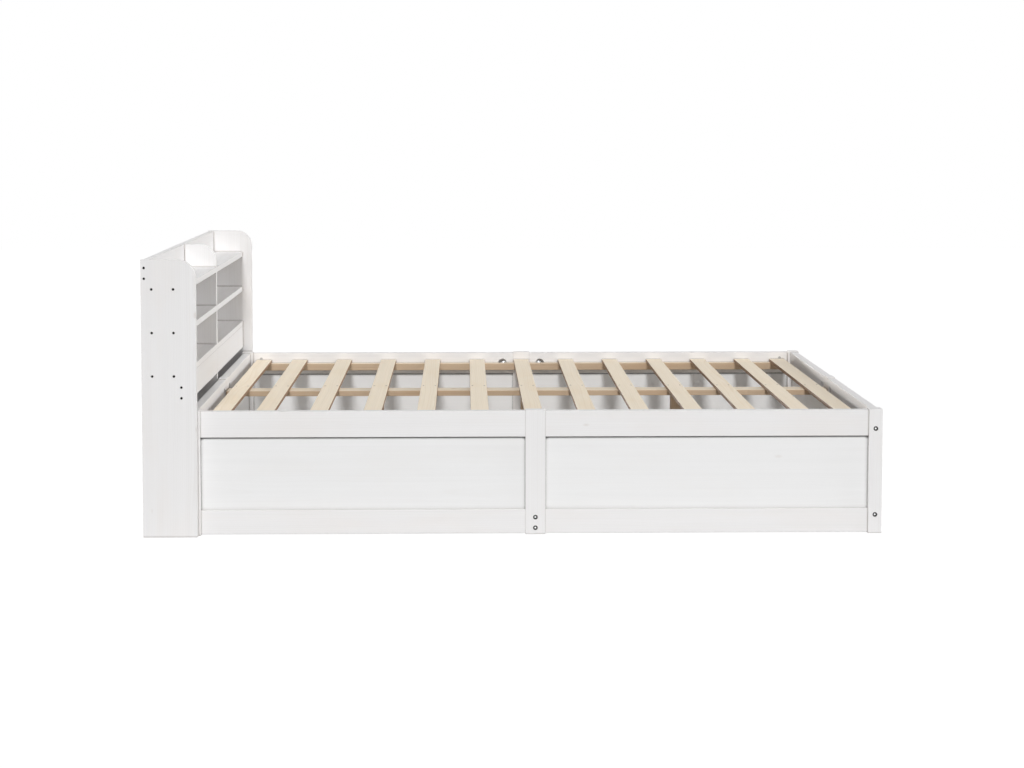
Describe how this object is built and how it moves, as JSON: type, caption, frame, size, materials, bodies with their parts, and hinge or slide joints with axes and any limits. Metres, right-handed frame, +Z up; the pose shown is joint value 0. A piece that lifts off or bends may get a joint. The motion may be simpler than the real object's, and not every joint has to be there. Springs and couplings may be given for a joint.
{
  "type": "bed frame",
  "caption": "Double bed frame of white painted pine: panelled base, bare slats on ledgers and a centre beam, and a shelved headboard with rounded corners and an open tray on top.",
  "frame": {"origin": "on the floor, under the middle of the bed's outline", "axes": "+X from the headboard to the foot, -Y the right side of a person lying on the bed, +Z up"},
  "size_m": [2.2036, 1.51, 0.827],
  "materials": {
    "white_pine": "thin satin white paint on planed pine, the grain and a few knots showing faintly",
    "white_board": "white painted thin board",
    "bare_pine": "planed, unfinished pine",
    "zinc_steel": "bright zinc plated",
    "screw_steel": "blackened"
  },
  "bodies": {
    "root": {"barrel_nuts": "zinc_steel", "beam_rests": "bare_pine", "bottom_shelf_left": "white_pine", "bottom_shelf_right": "white_pine", "centre_beam_foot": "bare_pine", "centre_beam_head": "bare_pine", "centre_legs": "bare_pine", "cross_beam": "bare_pine", "dowels": "bare_pine", "foot_centre_post": "white_pine", "foot_panel_left": "white_pine", "foot_panel_right": "white_pine", "foot_post_left": "white_pine", "foot_post_right": "white_pine", "foot_rail_left": "white_pine", "foot_rail_right": "white_pine", "frame_bolts": "screw_steel", "half_moon_connectors": "zinc_steel", "head_centre_post": "white_pine", "head_panel_left": "white_pine", "head_panel_right": "white_pine", "head_post_left": "white_pine", "head_post_right": "white_pine", "head_rail_left": "white_pine", "head_rail_right": "white_pine", "headboard_apron_left": "white_pine", "headboard_apron_right": "white_pine", "headboard_back": "white_board", "headboard_divider": "white_pine", "headboard_side_left": "white_pine", "headboard_side_right": "white_pine", "ledger_left_foot": "bare_pine", "ledger_left_head": "bare_pine", "ledger_right_foot": "bare_pine", "ledger_right_head": "bare_pine", "lower_foot_rail_left": "white_pine", "lower_foot_rail_right": "white_pine", "lower_head_rail_left": "white_pine", "lower_head_rail_right": "white_pine", "lower_side_rail_left_foot": "white_pine", "lower_side_rail_left_head": "white_pine", "lower_side_rail_right_foot": "white_pine", "lower_side_rail_right_head": "white_pine", "middle_shelf_left": "white_pine", "middle_shelf_right": "white_pine", "side_centre_post_left": "white_pine", "side_centre_post_right": "white_pine", "side_panel_left_foot": "white_pine", "side_panel_left_head": "white_pine", "side_panel_right_foot": "white_pine", "side_panel_right_head": "white_pine", "side_rail_left_foot": "white_pine", "side_rail_left_head": "white_pine", "side_rail_right_foot": "white_pine", "side_rail_right_head": "white_pine", "slats": "bare_pine", "top_back_board": "white_pine", "top_shelf_left": "white_pine", "top_shelf_right": "white_pine", "wood_screws": "screw_steel"}
  },
  "joints": []
}
